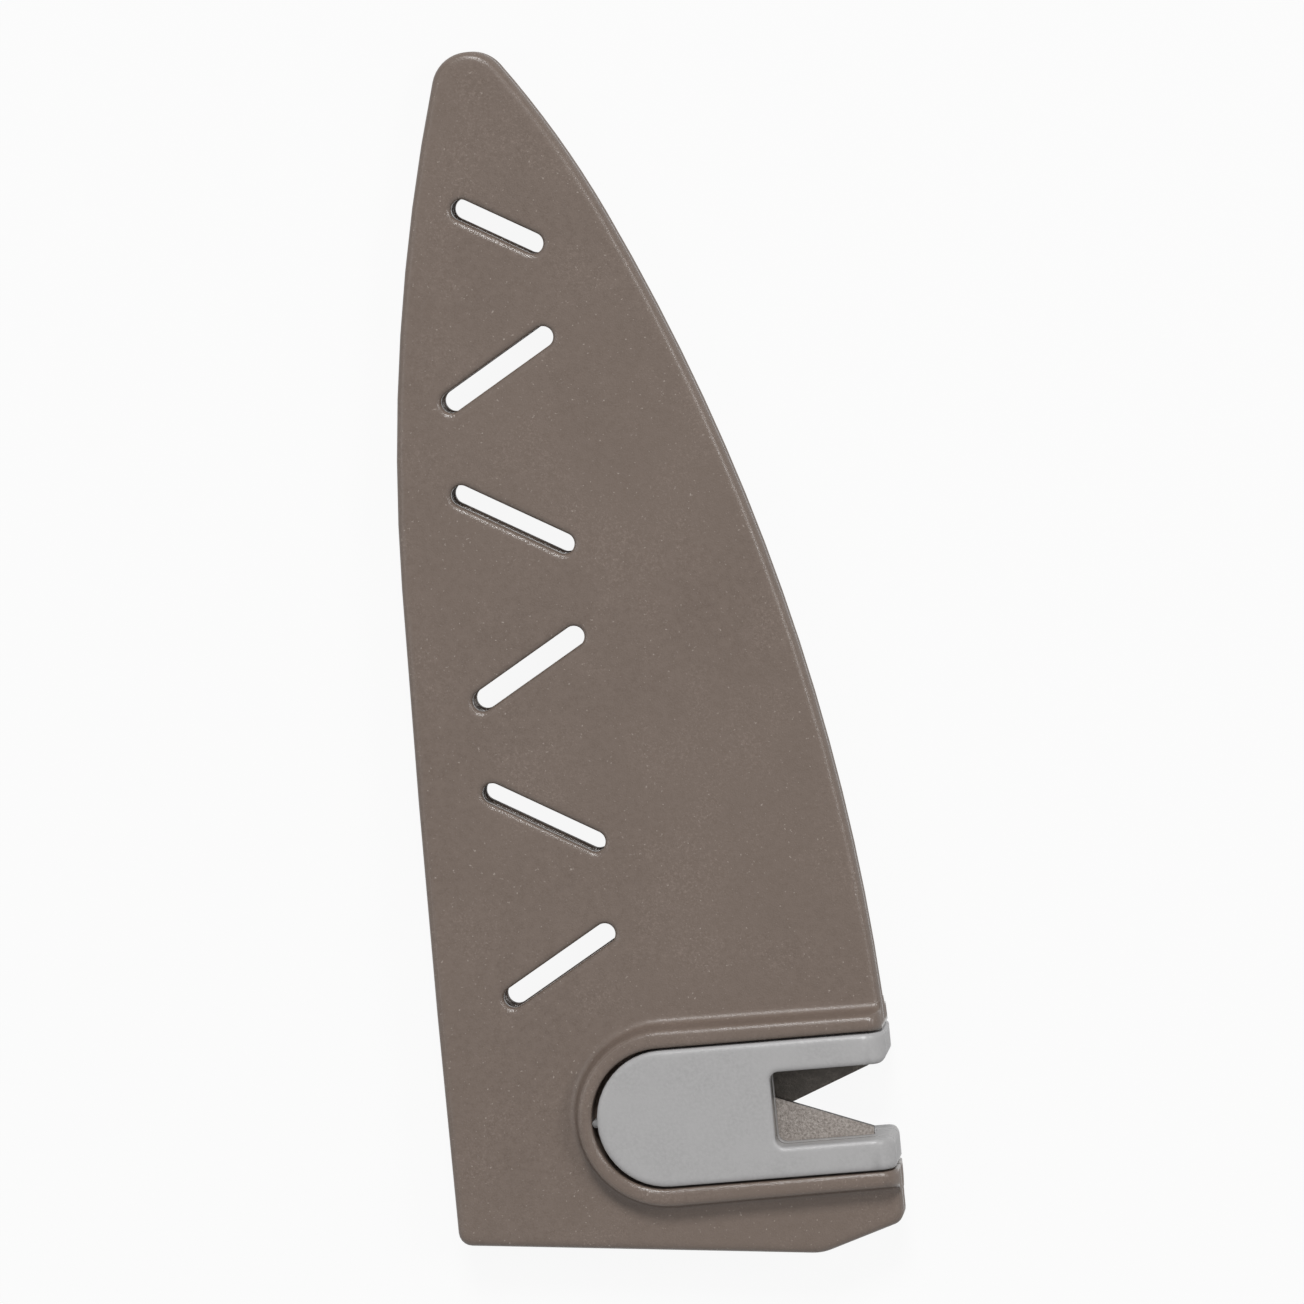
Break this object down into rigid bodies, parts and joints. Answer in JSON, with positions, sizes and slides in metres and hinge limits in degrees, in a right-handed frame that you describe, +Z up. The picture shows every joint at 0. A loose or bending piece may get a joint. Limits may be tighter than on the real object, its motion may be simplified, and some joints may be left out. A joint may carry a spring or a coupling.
{
  "type": "knife blade guard with sharpener",
  "caption": "Slotted moulded blade guard for a wide kitchen knife, with a grey crossed-plate pull-through sharpener built into the heel.",
  "frame": {"origin": "centre of the bounding box's bottom face, on the surface that the guard rests on with its back face down", "axes": "+X from the spine to the cutting edge, +Y along the spine from the mouth to the tip, +Z up, out of the front face"},
  "size_m": [0.0508, 0.1386, 0.0114],
  "materials": {
    "guard_plastic": "matt, finely grained taupe",
    "sharpener_plastic": "satin mid grey",
    "carbide": "ground, dark grey"
  },
  "bodies": {
    "root": {"front_shell": "guard_plastic", "back_shell": "guard_plastic", "sharpener_front": "sharpener_plastic", "sharpener_core": "sharpener_plastic", "sharpener_back": "sharpener_plastic", "lower_plate": "carbide", "upper_plate": "carbide"}
  },
  "joints": []
}
